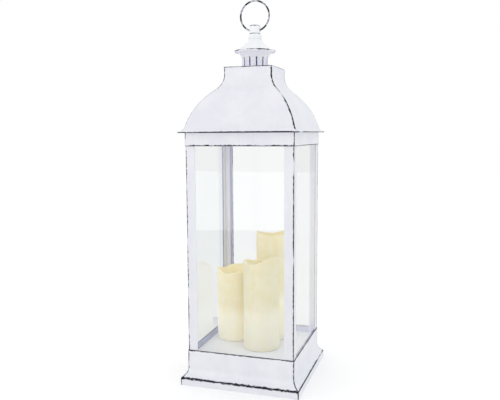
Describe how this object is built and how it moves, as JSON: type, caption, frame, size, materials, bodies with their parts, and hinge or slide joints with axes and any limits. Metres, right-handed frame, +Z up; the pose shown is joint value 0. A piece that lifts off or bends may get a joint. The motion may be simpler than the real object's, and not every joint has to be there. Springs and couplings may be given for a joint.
{
  "type": "candle lantern",
  "caption": "Square glass lantern of distressed white sheet metal with a curved pyramid roof, slotted chimney, carrying ring, back door and flameless pillar candles.",
  "frame": {"origin": "middle of the base's square footprint, on the surface that the lantern stands on", "axes": "+Z up towards the ring, front pane faces -Y, door on the back at +Y, hinges at -X"},
  "size_m": [0.224, 0.224, 0.71],
  "materials": {
    "white_paint": "satin white, rubbed with black along the edges",
    "ring_paint": "satin grey, rubbed with black",
    "clear_glass": "clear, polished",
    "ivory_wax": "soft satin wax",
    "amber_lens": "frosted amber",
    "ivory_plastic": "moulded, fine grain",
    "black_plastic": "moulded, fine grain",
    "cell_jacket": "printed film, smooth",
    "circuit_board": "satin lacquer",
    "bare_steel": "zinc plated, satin"
  },
  "bodies": {
    "lantern": {"base_skirt": "white_paint", "floor_plate": "white_paint", "post_front_left": "white_paint", "post_front_right": "white_paint", "post_back_right": "white_paint", "post_back_left": "white_paint", "glass_retainers": "white_paint", "fascia_band": "white_paint", "eave_plate": "white_paint", "roof_front": "white_paint", "roof_right": "white_paint", "roof_back": "white_paint", "roof_left": "white_paint", "crown_plate": "white_paint", "vent_drum": "white_paint", "chimney_cap": "white_paint", "finial": "white_paint", "glass_front": "clear_glass", "glass_left": "clear_glass", "glass_right": "clear_glass", "tie_screw": "bare_steel", "tie_washer": "bare_steel", "hinge_fixed_leaves": "white_paint", "hinge_pins": "bare_steel"},
    "ring": {"carrying_ring": "ring_paint"},
    "door": {"door_frame": "white_paint", "door_glass": "clear_glass", "door_clips": "bare_steel", "hinge_moving_leaves": "white_paint", "latch_bush": "bare_steel"},
    "latch": {"latch_knob": "white_paint", "latch_cam": "bare_steel"},
    "tall_candle": {"tall_wax": "ivory_wax", "tall_lamp": "amber_lens", "tall_housing": "ivory_plastic", "tall_cover": "ivory_plastic", "tall_cells": "cell_jacket", "tall_contacts": "bare_steel", "tall_board": "circuit_board"},
    "tall_slider": {"tall_switch": "black_plastic"},
    "medium_candle": {"medium_wax": "ivory_wax", "medium_lamp": "amber_lens", "medium_housing": "ivory_plastic", "medium_cover": "ivory_plastic", "medium_cells": "cell_jacket", "medium_contacts": "bare_steel", "medium_board": "circuit_board"},
    "medium_slider": {"medium_switch": "black_plastic"},
    "short_candle": {"short_wax": "ivory_wax", "short_lamp": "amber_lens", "short_housing": "ivory_plastic", "short_cover": "ivory_plastic", "short_cells": "cell_jacket", "short_contacts": "bare_steel", "short_board": "circuit_board"},
    "short_slider": {"short_switch": "black_plastic"}
  },
  "joints": [
    {"name": "ring_swing", "type": "hinge", "parent": "lantern", "child": "ring", "pos_m": [0, 0, 0.6539], "axis": [1, 0, 0], "range_deg": [-130, 130]},
    {"name": "door_hinge", "type": "hinge", "parent": "lantern", "child": "door", "pos_m": [-0.1016, 0.1018, 0.255], "axis": [0, 0, 1], "range_deg": [0, 110]},
    {"name": "latch_turn", "type": "hinge", "parent": "door", "child": "latch", "pos_m": [0.091, 0.1, 0.253], "axis": [0, 1, 0], "range_deg": [0, 90]},
    {"name": "tall_lift", "type": "slide", "parent": "lantern", "child": "tall_candle", "axis": [0, 0, 1], "range_m": [0, 0.12]},
    {"name": "tall_switch_slide", "type": "slide", "parent": "tall_candle", "child": "tall_slider", "axis": [1, 0, 0], "range_m": [0, 0.004]},
    {"name": "medium_lift", "type": "slide", "parent": "lantern", "child": "medium_candle", "axis": [0, 0, 1], "range_m": [0, 0.12]},
    {"name": "medium_switch_slide", "type": "slide", "parent": "medium_candle", "child": "medium_slider", "axis": [1, 0, 0], "range_m": [0, 0.004]},
    {"name": "short_lift", "type": "slide", "parent": "lantern", "child": "short_candle", "axis": [0, 0, 1], "range_m": [0, 0.12]},
    {"name": "short_switch_slide", "type": "slide", "parent": "short_candle", "child": "short_slider", "axis": [1, 0, 0], "range_m": [0, 0.004]}
  ]
}
